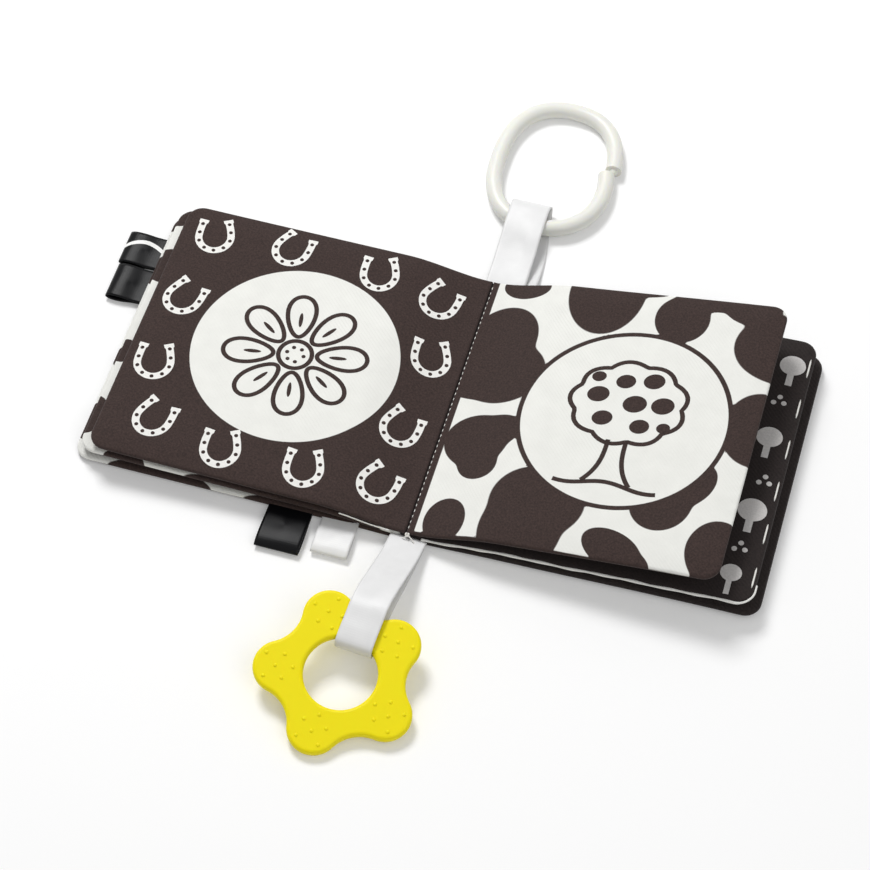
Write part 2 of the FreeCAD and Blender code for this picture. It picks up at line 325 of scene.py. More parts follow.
def leaf_surface(leaf, distance, spot, face):
    """Points on a leaf's top (face 1) or underside (face -1), in millimetres."""
    side, level = leaf["side"], leaf["level"]
    width = leaf["reach"] - leaf_root(leaf)
    share = np.maximum(distance, 0) / width
    root_middle = (level + 0.5) * seam_thickness + level * leaf_gap
    pile_middle = cover_middle + level * (padding + leaf_gap)
    near, far = leaf["lift"]
    lift = near + (far - near) * (spot / half_length + 1) / 2
    middle = root_middle + (pile_middle - root_middle) * smooth_step(distance, gutter_taper)
    middle = middle + lift * share ** lift_power + leaf["bulge"] * 4 * share * (1 - share)
    edge = edge_distance(leaf, distance, spot)
    full = sine_rise(width - distance, edge_taper) * sine_rise(half_length - np.abs(spot), edge_taper)
    half = edge_roll * circle_rise(edge, edge_roll)
    half = half + (padding - seam_thickness) / 2 * full * smooth_step(distance, gutter_taper)
    height = middle + face * half + (puckers(leaf, distance, spot, edge) if face > 0 else 0.0)
    x = side * (leaf_root(leaf) + distance)
    y = spot + leaf["skew"] * smooth_step(share, 1.0)
    return np.stack([x + 0 * spot, y, height], axis=-1)


seam_point = leaf_surface(leaves["right_top_leaf"], np.zeros(1), np.zeros(1), 1)[0]
print("the right-hand page leaves the seam", round(seam_point[2], 1), "mm above the table")

# %% [markdown]
# The mesh of a leaf is its top and its underside on the same places, so that
# they meet point for point along the outline. The places are close together
# where the cloth rolls over at an edge, and where a leaf bends when it turns.

# %% Mesh of a leaf


def marks(length, step, hinge=edge_roll):
    """Places from 0 to the length: close together on the rolled edges and up to the
    hinge distance, where a leaf bends, and even between."""
    roll = edge_roll * (1 - np.cos(np.radians([0, 18, 36, 54, 72, 90])))
    near = np.arange(edge_roll, hinge, hinge_step)
    count = int(round((length - edge_roll - hinge) / step))
    middle = np.linspace(hinge, length - edge_roll, count + 1)[:-1]
    return np.concatenate([roll[:-1], near, middle, length - roll[::-1]])


def leaf_grid(leaf, step):
    """Distances from the seam and places along it, as two arrays of the same shape."""
    inner = leaf_inner(leaf)
    width = leaf["reach"] - leaf_root(leaf)
    distance = inner + marks(width - inner, step, bend_end - inner)
    over = np.clip(distance - (width - corner_radius), 0, corner_radius)
    half = half_length - corner_radius + np.sqrt(corner_radius ** 2 - over ** 2)
    spot = marks(2 * half_length, step) / half_length - 1
    return np.broadcast_to(distance[:, None], (len(distance), len(spot))), half[:, None] * spot[None, :]


def leaf_piece(name, leaf, step, ink, under_ink):
    """Closed pillow: the top grid and the underside grid share their outline's points.
    The top's ink is a formula of x and y, and the underside's is one number."""
    distance, spot = leaf_grid(leaf, step)
    rows, columns = distance.shape
    top = leaf_surface(leaf, distance, spot, 1)
    under = leaf_surface(leaf, distance, spot, -1)
    rim = np.zeros((rows, columns), bool)
    rim[0], rim[-1], rim[:, 0], rim[:, -1] = True, True, True, True
    number = np.arange(rows * columns).reshape(rows, columns)
    below = number.copy()
    below[~rim] = rows * columns + np.arange((~rim).sum())
    top_faces = grid_faces(rows, columns, 0)
    under_faces = below.ravel()[top_faces][:, ::-1]
    faces = np.vstack([top_faces, under_faces])
    if leaf["side"] < 0:
        faces = faces[:, ::-1]
    piece = make_piece(name, np.vstack([top.reshape(-1, 3), under[~rim]]), faces)
    set_ink(piece, np.append(ink(top[..., 0], top[..., 1]).ravel(), np.full((~rim).sum(), under_ink)))
    return piece


print("a page has", len(marks(2 * half_length, 1.0)), "places along the seam")

# %% [markdown]
# The print on the light pages is a cow hide: dark, smooth patches on white, as
# on many baby things. Each patch is a few round blobs melted together. A blob
# is a field that is 1 at its middle and 0 on its edge, and a soft maximum of
# the fields rounds the hollows where blobs meet, like drops that touch.

# %% Cow-hide print
patch_melt = 0.09
patch_depth = 10


def blobs(x, y, parts):
    """Largest of the blobs' fields with rounded hollows, times the depth of a patch in millimetres."""
    fields = []
    for across, along, wide, tall, turn in parts:
        c, s = math.cos(math.radians(turn)), math.sin(math.radians(turn))
        u, v = (x - across) * c + (y - along) * s, (y - along) * c - (x - across) * s
        fields.append(1 - np.hypot(u / wide, v / tall))
    total = sum(np.exp(f / patch_melt) for f in fields)
    return patch_depth * patch_melt * np.log(total)


def disc(x, y, centre, radius):
    """Signed distance inside a circle."""
    return radius - np.hypot(x - centre[0], y - centre[1])


right_medallion = (82.6, 1.4)
left_medallion = (-77.3, 0.8)
medallion_radius = 50.0
medallion_line = 2.3
# Painted shade: the next two strips darken the right-hand page where it dips into the gutter valley and along its
# near edge.
gutter_painted_shade = 3.6
near_edge_painted_shade = -73.6

right_patches = [
    (18, 73, 11.5, 7.5, 0), (15, 41, 16, 19, 4), (20, 20, 20, 18, 0), (6, 12, 14, 8, 0),
    (57.5, 73, 18.5, 25.5, 0), (77, 80, 12, 7, 0),
    (96, 62, 13, 14, 6), (108, 77, 17, 9, 0), (127, 75, 14, 12, 0),
    (145, 52, 22, 19, 0), (144, 6.5, 16.5, 20, 0),
    (110, -40, 14, 15, -20), (122, -28, 9, 13, -30), (140, -60, 14, 16, 0), (142, -72, 10, 10, 0),
    (94, -68, 15, 9, -22), (104, -76, 9, 8, 0), (55, -50, 22, 19, 0), (51, -67, 19, 21, 0),
    (18, -20, 15, 15, 0), (26, -14, 12, 9, 20), (22, -33, 9, 9, 0),
    (15.5, -66, 9.5, 12.5, 0),
]
print(len(right_patches), "blobs make the patches of the right-hand page")

# %% Print of each leaf, and painted shade on the right-hand page


def right_page_print_and_painted_shade(x, y):
    """Cow hide round a white circle with a dark line, and dark ink as painted shade in the gutter valley and along
    the near edge.
    """
    ring = medallion_line / 2 - np.abs(disc(x, y, right_medallion, medallion_radius - medallion_line / 2))
    hide = np.minimum(blobs(x, y, right_patches), -disc(x, y, right_medallion, medallion_radius - 1))
    # The hide and the ring are print; the gutter and near-edge strips are painted shade.
    return np.max([hide, ring, gutter_painted_shade - x, near_edge_painted_shade - y], axis=0)


def left_page_ink(x, y):
    """Dark all over but for the white circle."""
    return -disc(x, y, left_medallion, medallion_radius)


outer_patches = [(-160, 72, 10, 9, 0), (-152, 38, 16, 11, 0), (-158, -16, 6, 7, 0), (-160, -55, 7, 11, 0)]
far_patches = [(-128, 78, 14, 9, 0), (-84, 78, 17, 9, 0), (-30, 78, 24, 9, 0)]
second_patches = outer_patches + [(-137, -78, 11, 9, 0), (-60, -78, 51, 9, 0)] + far_patches
cover_patches = outer_patches + [(-120, -78, 27, 9, 0), (-40, -78, 41, 9, 0)] + far_patches


def hide_ink(patches):
    """Cow hide again, seen only along the edges of a lower leaf."""
    return lambda x, y: blobs(x, y, patches)


def dark_ink_all_over(x, y):
    """Plain dark cloth."""
    return 0 * x + 1.0


print("the lower leaves have", len(second_patches), "and", len(cover_patches), "blobs")

# %% [markdown]
# Six padded leaves: three on each side of the seam. The front cover and the two
# leaves on it turn together, the back cover turns by itself, and the two leaves
# that lie on it belong to the part that stays. Each replaces its CAD solid. A
# leaf that turns bends at its root, over its first 4.2 mm, so every leaf has
# close rows of points there.

# %% Padded leaves
page_pieces = {
    "left_page": ("left_top_leaf", "front", 1.0, left_page_ink, 1, "dark_page_cloth", printed_cloth),
    "left_second_page": ("left_middle_leaf", "front", 1.5, hide_ink(second_patches), 1, "light_page_cloth",
                         printed_cloth),
    "front_cover_cloth": ("front_cover", "front", 1.5, hide_ink(cover_patches), 1, "cover_cloth", printed_cloth),
    "right_page": ("right_top_leaf", "pages", 1.0, right_page_print_and_painted_shade, 1, "light_page_cloth", printed_cloth),
    "right_second_page": ("right_middle_leaf", "pages", 1.5, dark_ink_all_over, -1, "dark_page_cloth", blacker_cloth),
    "back_cover_cloth": ("back_cover", "back", 1.5, dark_ink_all_over, 1, "cover_cloth", blacker_cloth),
}
for name, (node, body, step, ink, under_ink, slot_name, cloth) in page_pieces.items():
    page = leaf_piece(name, leaves[node], step, ink, under_ink)
    page.data.materials.append(cloth)
    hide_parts(node)
    if body == "pages":
        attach(page, body)
    else:
        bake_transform(page)
    print(name, len(page.data.polygons), "faces")

# %% [markdown]
# The stitched seam under the pages is a narrow block of folded cloth. Only its
# ends and its underside show, so it is a low box with rounded long edges.

# %% Shape of the seam core
seam_top = 6.5
seam_rounding = 0.8
seam_reach = half_length + 0.2


def rounded_bar(width, height, radius, ends, steps=5):
    """Closed profile of a rounded rectangle carried from one end to the other along Y."""
    turn = np.linspace(0, math.pi / 2, steps)
    quarter = np.stack([np.cos(turn), np.sin(turn)], axis=1) * radius
    corners = [(width / 2 - radius, height - radius, 1, 1), (radius - width / 2, height - radius, -1, 1),
               (radius - width / 2, radius, -1, -1), (width / 2 - radius, radius, 1, -1)]
    loops = []
    for index, (cx, cz, sx, sz) in enumerate(corners):
        arc = quarter if index % 2 == 0 else quarter[::-1]
        loops.append(np.stack([cx + sx * arc[:, 0], cz + sz * arc[:, 1]], axis=1))
    profile = np.vstack(loops)
    rings = []
    for y, inset in [(ends[0], radius), (ends[0] + radius * 0.3, radius * 0.3), (ends[0] + radius, 0.0),
                     (ends[1] - radius, 0.0), (ends[1] - radius * 0.3, radius * 0.3), (ends[1], radius)]:
        scale = np.array([(width / 2 - inset) / (width / 2), (height / 2 - inset) / (height / 2)])
        ring = (profile - [0, height / 2]) * scale + [0, height / 2]
        rings.append(np.stack([ring[:, 0], np.full(len(ring), y), ring[:, 1]], axis=1))
    return np.stack(rings)


core = rounded_bar(2 * half_seam, seam_top, seam_rounding, (-seam_reach, seam_reach))
print("the bar has", core.shape[1], "points round its profile")

# %% Close and place the seam core


def close_ends(piece):
    """Fill the open ends of a tube, and point its faces outwards."""
    shell = bmesh.new()
    shell.from_mesh(piece.data)
    open_edges = [e for e in shell.edges if e.is_boundary]
    bmesh.ops.holes_fill(shell, edges=open_edges, sides=0)
    bmesh.ops.recalc_face_normals(shell, faces=shell.faces)
    shell.to_mesh(piece.data)
    shell.free()


seam_core = make_grids("seam_core", [core], closed_columns=True)
close_ends(seam_core)
set_ink(seam_core, 1.0)
seam_core.data.materials.append(blacker_cloth)
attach(seam_core, "pages")
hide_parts("stitched_seam")
print("seam core", len(seam_core.data.polygons), "faces")

# %% [markdown]
# A ribbon is a flat strip that follows a line in its own plane. The line here
# goes through the same points as the CAD ribbon, on a smooth curve through all
# of them. The cloth is one surface, and Solidify gives it its thickness.

# %% Ribbons
ribbon_thickness = 0.6
woven_share = 0.8
strap_start = half_length + 0.3
strap_exit = 1.5 * seam_thickness + leaf_gap


def smooth_route(points, count):
    """Curve through the points, even along its length: cubic pieces whose slopes
    are those of the chord between the neighbours, then resampled."""
    points = np.asarray(points, float)
    chord = np.maximum(np.linalg.norm(np.diff(points, axis=0), axis=1), 1e-6) ** 0.5
    knots = np.concatenate([[0], np.cumsum(chord)])
    slopes = np.gradient(points, knots, axis=0)
    fine = np.linspace(0, knots[-1], 40 * len(points))
    piece = np.clip(np.searchsorted(knots, fine, side="right") - 1, 0, len(points) - 2)
    span = (knots[piece + 1] - knots[piece])[:, None]
    t = ((fine - knots[piece]) / span[:, 0])[:, None]
    curve = ((2 * t ** 3 - 3 * t ** 2 + 1) * points[piece] + (t ** 3 - 2 * t ** 2 + t) * span * slopes[piece]
             + (3 * t ** 2 - 2 * t ** 3) * points[piece + 1] + (t ** 3 - t ** 2) * span * slopes[piece + 1])
    walk = np.concatenate([[0], np.cumsum(np.linalg.norm(np.diff(curve, axis=0), axis=1))])
    even = np.linspace(0, walk[-1], count)
    return np.stack([np.interp(even, walk, curve[:, k]) for k in range(points.shape[1])], axis=1), walk[-1]


def ribbon_grid(route, width, origin, heading, columns=17, slip=0.0, count=90):
    """Grid of a ribbon: the route is (out, height), out points along the heading in
    degrees, and the width lies across it. The strip slips sideways along its length."""
    line, length = smooth_route(route, count)
    turn = math.radians(heading)
    out_way = np.array([math.cos(turn), math.sin(turn), 0])
    across_way = np.array([-math.sin(turn), math.cos(turn), 0])
    across = np.linspace(-width / 2, width / 2, columns)
    share = np.linspace(0, 1, count)
    centre = np.array(origin)[None, :] + line[:, :1] * out_way + line[:, 1:2] * np.array([0, 0, 1.0])
    centre = centre + (slip * smooth_step(share - 0.45, 0.4))[:, None] * across_way
    return centre[:, None, :] + across[None, :, None] * across_way, length


print("ribbons are", ribbon_thickness, "mm thick and leave the seam", round(strap_exit, 1), "mm up")

# %% Ribbon pieces


def ribbon_piece(name, grid, material, node, length, width):
    """Ribbon with its thickness, standing for its CAD node. Its own flat map says how far
    along and how far across each point lies, in metres."""
    piece = make_grids(name, [grid])
    layers = piece.data.uv_layers.new(name="ribbon")
    rows, columns = grid.shape[:2]
    along = np.repeat(np.linspace(0, length * MM, rows), columns)
    across = np.tile(np.linspace(0, width * MM, columns), rows)
    corner = np.zeros(len(piece.data.loops), np.int32)
    piece.data.loops.foreach_get("vertex_index", corner)
    layers.data.foreach_set("uv", np.stack([along[corner], across[corner]], axis=1).ravel().astype(np.float32))
    wall = piece.modifiers.new("thickness", "SOLIDIFY")
    wall.thickness = ribbon_thickness * MM * woven_share
    wall.offset = 0
    piece.data.materials.append(material)
    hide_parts(node)
    return piece


print("ribbon pieces have", ribbon_thickness * woven_share, "mm of cloth")

# %% [markdown]
# The tags and straps are satin ribbon: long floats of polyester thread that
# run along the ribbon, so it shines in bands across the folds. Satin could be
# a plain glossy cloth, but its gloss is drawn out across the threads, which
# the anisotropic setting gives. Threads 0.2 mm apart are drawn 0.7 mm apart,
# and the picks that cross them 1.1 mm apart.

# %% Satin ribbon
satin_threads = 0.7 * MM
satin_picks = 1.1 * MM
satin_mottle = 6 * MM
stripe_colour = "#f4f4f2"
stripe_wave = 22 * MM
tag_stripe = (9.5, 2.3, -4.5)


def satin_material(name, colour, stripe=None, roughness=0.32, sheen=0.1, gloss=0.5):
    """Glossy woven ribbon. A stripe is a pale line that waves as a sine along the ribbon:
    its middle, its width and how far it waves, in millimetres."""
    material, tree, output = new_material(name)
    place = add_node(tree, "ShaderNodeUVMap", uv_map="ribbon").outputs["UV"]
    threads = add_node(tree, "ShaderNodeTexWave", {"Scale": wave_scale(satin_threads), "Distortion": 0.4},
                       {"Vector": place}, wave_type="BANDS", bands_direction="Y")
    picks = add_node(tree, "ShaderNodeTexWave", {"Scale": wave_scale(satin_picks), "Distortion": 0.3},
                     {"Vector": place}, wave_type="BANDS", bands_direction="X")
    relief = add_node(tree, "ShaderNodeMath", links={0: threads.outputs["Fac"], 1: picks.outputs["Fac"]},
                      operation="ADD")
    bump = add_node(tree, "ShaderNodeBump", {"Strength": 0.15, "Distance": 0.05 * MM},
                    {"Height": relief.outputs["Value"]})
    colour_node = add_node(tree, "ShaderNodeMix", data_type="RGBA")
    colour_node.inputs[6].default_value = linear(colour)
    colour_node.inputs[7].default_value = linear(stripe_colour)
    colour_node.inputs[0].default_value = 0.0
    if stripe:
        middle, wide, wave = stripe
        split = add_node(tree, "ShaderNodeSeparateXYZ", links={"Vector": place})
        value = split.outputs["X"]
        for operation, values, links in [
            ("MULTIPLY", {1: math.pi / stripe_wave}, {}), ("SINE", {}, {}),
            ("MULTIPLY_ADD", {1: wave * MM, 2: middle * MM}, {}), ("SUBTRACT", {}, {1: split.outputs["Y"]}),
            ("ABSOLUTE", {}, {}), ("LESS_THAN", {1: wide / 2 * MM}, {}),
        ]:
            step = add_node(tree, "ShaderNodeMath", values, {0: value, **links}, operation=operation)
            value = step.outputs["Value"]
        tree.links.new(value, colour_node.inputs[0])
    shaded = uneven(tree, place, colour_node.outputs[2], satin_mottle, detail=2.0, low=0.94, high=1.04)
    shader = add_node(tree, "ShaderNodeBsdfPrincipled",
                      {"Roughness": roughness, "Anisotropic": 0.5, "Sheen Weight": sheen,
                       "Specular IOR Level": gloss},
                      {"Base Color": shaded, "Normal": bump.outputs["Normal"]})
    tree.links.new(shader.outputs["BSDF"], output.inputs["Surface"])
    return material


white_satin = satin_material("white_satin_ribbon", "#e9e9e9", roughness=0.4)
black_satin = satin_material("black_satin_ribbon", "#0c0c0e", roughness=0.3, sheen=0.0, gloss=0.1)
striped_satin = satin_material("black_satin_ribbon_with_stripe", "#0c0c0e", tag_stripe, 0.3, 0.0, 0.1)
print("satin threads every", satin_threads / MM, "mm")

# %% Ring strap
ring_strap_width = 19.5
ring_strap_x = 5.5
ring_strap_slip = -5.0
ring_centre = (9.9, 155.0)
ring_along = 86.1
ring_rod = 8.2
ring_rod_lift = 0.9
rod_place = ring_centre[1] - (ring_along - ring_rod) / 2 - strap_start
rod_top = ring_rod_lift + ring_rod
ply = (ribbon_thickness + fold_play) / 2
over_rod = [(0.2, 0.52), (0.55, 0.73), (0.8, 1.01), (0.93, 1.09), (1.05, 1.11), (1.2, 1.08)]
under_rod = [(1.29, 0.2), (1.17, 0.06), (1.0, 0.04), (0.7, 0.05), (0.4, 0.13), (0.18, 0.3)]
ring_route = [(0, strap_exit + ply)]
ring_route += [(out * rod_place, height * rod_top) for out, height in over_rod]
ring_route += [(1.33 * rod_place, ring_rod_lift + ring_rod / 2)]
ring_route += [(out * rod_place, max(height * rod_top, 0.35)) for out, height in under_rod]
ring_route += [(0, strap_exit - ply)]
ring_ribbon_grid, ring_length = ribbon_grid(
    ring_route, ring_strap_width, (ring_strap_x, strap_start, 0), 90, slip=ring_strap_slip)
ring_ribbon = ribbon_piece("ring_ribbon", ring_ribbon_grid, white_satin, "ring_strap",
                           ring_length, ring_strap_width)
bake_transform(ring_ribbon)
print("ring ribbon", round(ring_length), "mm long")

# %% Teether strap
star_strap_width = 17.4
star_strap_play = 0.4
star_strap_clearance = 0.6
star_strap_turn = math.radians(4.6)
star_strap_x = 1.7
star_centre = (-6.0, -155.3)
star_thickness = 5.0
star_hole = 33.1
star_turn = math.radians(117.7)
star_tilt, star_lean = math.radians(12.0), math.radians(4.0)
arm_reach, arm_radius, arms = 27.1, 12.0, 5

heading = np.array([-math.sin(star_strap_turn), -math.cos(star_strap_turn)])
sideways = np.array([heading[1], -heading[0]])
to_centre = np.array(star_centre) - [star_strap_x, -strap_start]
rises = np.array([-math.sin(star_lean), math.cos(star_lean) * math.sin(star_tilt)])
upright = math.sqrt(1 - rises @ rises)
slope = rises / upright
arm_turns = star_turn + np.arange(arms) * 2 * math.pi / arms
lowest_arm = (arm_reach * (np.cos(arm_turns) * rises[0] + np.sin(arm_turns) * rises[1])).min()
star_middle = star_thickness / 2 * upright - lowest_arm + arm_radius * np.linalg.norm(rises)
half_plate = star_thickness / 2 / upright
reach = to_centre @ heading
rim = reach - star_hole / 2
widest = star_strap_width / 2 + abs(to_centre @ sideways) + star_strap_play
side = reach - math.sqrt((star_hole / 2) ** 2 - widest ** 2)
top = half_plate + star_strap_clearance + abs(slope @ sideways) * star_strap_width / 2


def plate(out):
    """Height of the tilted teether's middle, this far along the ribbon."""
    return star_middle + slope @ (heading * out - to_centre)


crest = plate(0.76 * rim) + top
teether_route = [(0, strap_exit + ply), (0.2 * rim, 0.36 * crest), (0.45 * rim, 0.7 * crest)]
teether_route += [(0.64 * rim, 0.95 * crest), (0.76 * rim, crest)]
teether_route += [(out * rim, plate(out * rim) + top) for out in (0.87, 0.98)]
teether_route += [(side + star_strap_play, plate(side) + 0.7 * top), (side + 2.5 * star_strap_play, plate(side))]
teether_route += [(side + star_strap_play, plate(side) - 0.7 * top)]
teether_route += [(out * rim, plate(out * rim) - top) for out in (0.98, 0.86)]
teether_route += [(0.6 * rim, 0.47 * crest), (0.35 * rim, 0.3 * crest), (0.15 * rim, 0.2 * crest)]
teether_route += [(0, strap_exit - ply)]
teether_ribbon_grid, teether_length = ribbon_grid(
    teether_route, star_strap_width, (star_strap_x, -strap_start, 0), -90 - math.degrees(star_strap_turn))
teether_ribbon = ribbon_piece("teether_ribbon", teether_ribbon_grid, white_satin, "teether_strap",
                              teether_length, star_strap_width)
along = np.append(heading, 0)
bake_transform(teether_ribbon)
print("teether ribbon", round(teether_length), "mm long, fold", round(side, 1), "mm out")

# %% Ribbon tags
tags = {
    "side_tag_upper": dict(edge="outer", place=48.5, width=19.0, out=19.0, opening=2.6, material=striped_satin),
    "side_tag_lower": dict(edge="outer", place=27.5, width=20.0, out=18.0, opening=3.0, material=black_satin),
    "bottom_tag_black": dict(edge="near", place=-55.5, width=21.0, out=23.0, opening=2.4, material=black_satin),
    "bottom_tag_white": dict(edge="near", place=-31.5, width=17.5, out=19.0, opening=2.4, material=white_satin),
}
for name, tag in tags.items():
    rise = tag["opening"] / 2 + ribbon_thickness / 2
    out = tag["out"] - ribbon_thickness / 2
    half_loop = [(-3.0, ply), (0, ply), (0.25 * out, ply + 0.15 * rise), (0.6 * out, rise), (0.88 * out, 0.85 * rise)]
    loop = half_loop + [(out, 0)] + [(s, -h) for s, h in reversed(half_loop)]
    if tag["edge"] == "outer":
        origin, heading = (-leaves["front_cover"]["reach"], tag["place"], cover_middle), 180
    else:
        origin, heading = (tag["place"], -half_length, cover_middle), -90
    grid, length = ribbon_grid(loop, tag["width"], origin, heading, count=48)
    ribbon = ribbon_piece(name + "_ribbon", grid, tag["material"], name,
                          length, tag["width"])
    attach(ribbon, "front")
    print(name, round(length), "mm of ribbon")

# %% [markdown]
# The print's fine shapes are laid on the page as thin skins, 0.05 mm up, which
# keeps their outlines sharp at any size. A strip follows a line at a given
# width, and a disc is a square grid bent round, so it has no pole. The shapes
# are drawn flat first, and the height of the page is added when they are laid.

# %% Flat shapes


def strip(line, half_width, closed=False, columns=4):
    """Points either side of a flat line, at half its width along the line's normal."""
    line = np.asarray(line, float)
    if closed:
        way = np.roll(line, -1, axis=0) - np.roll(line, 1, axis=0)
    else:
        way = np.gradient(line, axis=0)
    way = way / np.linalg.norm(way, axis=1)[:, None]
    normal = np.stack([way[:, 1], -way[:, 0]], axis=1)
    across = np.linspace(-1, 1, columns)[None, :, None]
    wide = np.broadcast_to(np.asarray(half_width, float), (len(line),))[:, None, None]
    grid = line[:, None, :] + across * wide * normal[:, None, :]
    return np.concatenate([grid, grid[:1]]) if closed else grid


def turned(points, centre, turn):
    """Flat points turned by degrees about their origin, then moved to the centre."""
    c, s = math.cos(math.radians(turn)), math.sin(math.radians(turn))
    return np.stack([centre[0] + points[..., 0] * c - points[..., 1] * s,
                     centre[1] + points[..., 0] * s + points[..., 1] * c], axis=-1)


def round_patch(centre, wide, tall, turn=0.0, count=13):
    """Filled ellipse from a square grid: each side is drawn in by the other's half square."""
    u, v = np.meshgrid(np.linspace(-1, 1, count), np.linspace(-1, 1, count), indexing="ij")
    flat = np.stack([wide * u * np.sqrt(1 - v * v / 2), tall * v * np.sqrt(1 - u * u / 2)], axis=-1)
    return turned(flat, centre, turn)


print("a round patch is a grid of", round_patch((0, 0), 1, 1).shape[0], "points a side")

# %% Skins that lie on a page
skin_lift = 0.05


def on_page(leaf, x, y, lift):
    """Points of a page's top at x and y, raised by the lift."""
    distance = leaf["side"] * x - leaf_root(leaf)
    share = np.maximum(distance, 0) / (leaf["reach"] - leaf_root(leaf))
    spot = y - leaf["skew"] * smooth_step(share, 1.0)
    points = leaf_surface(leaf, distance, spot, 1)
    points[..., 2] += lift
    return points


def print_skin(name, leaf_name, body, grids, material, lift=skin_lift):
    """One thin skin from several flat grids, laid on a leaf's top."""
    leaf = leaves[leaf_name]
    facing_up = []
    for flat in grids:
        grid = on_page(leaf, flat[..., 0], flat[..., 1], lift)
        normal = np.cross(grid[1, 0] - grid[0, 0], grid[0, 1] - grid[0, 0])
        facing_up.append(grid[:, ::-1] if normal[2] < 0 else grid)
    skin = make_grids(name, facing_up)
    set_ink(skin, 1.0)
    skin.data.materials.append(material)
    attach(skin, body)


white_print = cloth_material("white_printed_cloth", white_ground, "#f1f0ec", flecks=0.04)
grey_print = cloth_material("grey_printed_cloth", white_ground, "#d4d1cf", flecks=0.1)
print("skins lie", skin_lift, "mm above the cloth")

# %% Horseshoes
shoe_across, shoe_along = 7.9, 8.4
shoe_arm = 10.9
shoe_toe_in = 2.2
shoe_bend_share = 0.54
shoe_half_width = 1.8
shoe_flare = 0.55
shoe_drop = 0.8
heel_start, heel_blend = 0.76, 0.08
nail_radius = 0.95
nail_count = 9
nail_spread = 0.88


def shoe_line(walk):
    """Flat U: half an oval, then two arms that lean in a little. Walk runs from -1 to 1."""
    bend = np.clip(np.abs(walk) / shoe_bend_share, 0, 1) * math.pi / 2
    arm = np.clip((np.abs(walk) - shoe_bend_share) / (1 - shoe_bend_share), 0, 1)
    x = np.sign(walk) * (shoe_across * np.sin(bend) - shoe_toe_in * arm ** 1.6)
    return np.stack([x, -shoe_drop - shoe_along * np.cos(bend) + shoe_arm * arm], axis=-1), arm


def horseshoe(centre, turn):
    """White strip along the U, wider at its two blunt heels."""
    line, arm = shoe_line(np.linspace(-1, 1, 81))
    wide = shoe_half_width + shoe_flare * smooth_step(arm - heel_start, heel_blend)
    return turned(strip(line, wide), centre, turn)


def nail_holes(centre, turn):
    """Small dark discs spread evenly along the shoe."""
    spots = turned(shoe_line(np.linspace(-nail_spread, nail_spread, nail_count))[0], centre, turn)
    return [round_patch(spot, nail_radius, nail_radius, count=7) for spot in spots]


shoe_places = [
    (-137, 58, 14), (-98, 61, -16), (-53, 59, 13), (-21, 54, -20), (-16, 21, 14), (-18, -22, -16),
    (-19, -55, -20), (-54, -59, 12), (-94, -60, 12), (-129, -53, -16), (-140, -22, 12), (-139, 18, -20),
]
shoes, holes = [], []
for across, along, tilt in shoe_places:
    shoes.append(horseshoe((across, along), tilt))
    holes += nail_holes((across, along), tilt)
print_skin("horseshoes", "left_top_leaf", "front", shoes, white_print)
print_skin("horseshoe_nail_holes", "left_top_leaf", "front", holes, printed_cloth, 2 * skin_lift)
print(len(shoes), "horseshoes with", len(holes), "nail holes")

# %% [markdown]
# The two round fields of the pages hold plain drawings in a thick dark line: a
# daisy on the left and a fruit tree on the right. Both are built from circles,
# ovals and strips, the way a child's stencil is.

# %% Daisy
line_half = 1.1
angle = np.linspace(0, 2 * math.pi, 97)[:-1]
heart_radius, seed_ring, seed_radius, seeds = 8, 4.2, 1.0, 6
vein_middle, vein_half_length, vein_half_width = 20.5, 4.2, 1.0
petals, petal_middle, petal_half_length, petal_half_width = 8, 22.5, 12.0, 6.6
heart = heart_radius * np.stack([np.cos(angle), np.sin(angle)], axis=1)
petal_x = petal_middle + petal_half_length * np.cos(angle)
petal_y = petal_half_width * np.sin(angle) * (1 + 0.25 * np.cos(angle))
petal = np.stack([petal_x, petal_y], axis=1)
daisy = [strip(heart, line_half, closed=True)]
for number in range(petals):
    turn = 360 / petals * number + 10
    daisy.append(turned(strip(petal, line_half, closed=True), (0, 0), turn))
    daisy.append(turned(round_patch((vein_middle, 0), vein_half_length, vein_half_width), (0, 0), turn))
for seed in range(seeds):
    place = (seed_ring * math.cos(seed), seed_ring * math.sin(seed))
    daisy.append(round_patch(place, seed_radius, seed_radius, count=7))
daisy = [grid + np.array(left_medallion) for grid in daisy]
print_skin("daisy_drawing", "left_top_leaf", "front", daisy, printed_cloth)
print(len(daisy), "strokes draw the daisy")

# %% Fruit tree
# The crown is a low oval whose radius swells in nine lobes, as the size of a sine does.
crown_radius = 25 + 2.6 * np.abs(np.sin(4.5 * angle))
crown = np.stack([crown_radius * np.cos(angle), 9 + 0.86 * crown_radius * np.sin(angle)], axis=1)
down = np.linspace(0, 1, 24)
meadow = np.stack([np.linspace(-24, 24, 40), -37 + 1.5 * np.cos(np.linspace(-4, 4, 40))], axis=1)
tree_drawing = [strip(crown, line_half, closed=True)]
for side_way in (-1, 1):
    trunk = np.stack([side_way * (4.2 + 7 * down ** 3), -12.5 - 24 * down], axis=1)
    tree_drawing.append(strip(trunk, line_half))
tree_drawing.append(strip(meadow, line_half))
for fruit_x, fruit_y, fruit_size in [(-15, 12, 5.2), (-4, 21, 4.6), (9, 23, 5.0), (16, 10, 5.4), (3, 9, 5.6),
                                     (-10, -1, 4.8), (8, -3, 4.6), (-17, 22, 3.4), (19, -2, 3.2)]:
    tree_drawing.append(round_patch((fruit_x, fruit_y), fruit_size, 0.85 * fruit_size, turn=15))
tree_drawing = [grid + np.array(right_medallion) for grid in tree_drawing]
print_skin("fruit_tree_drawing", "right_top_leaf", "pages", tree_drawing, printed_cloth)
print(len(tree_drawing), "strokes draw the tree")

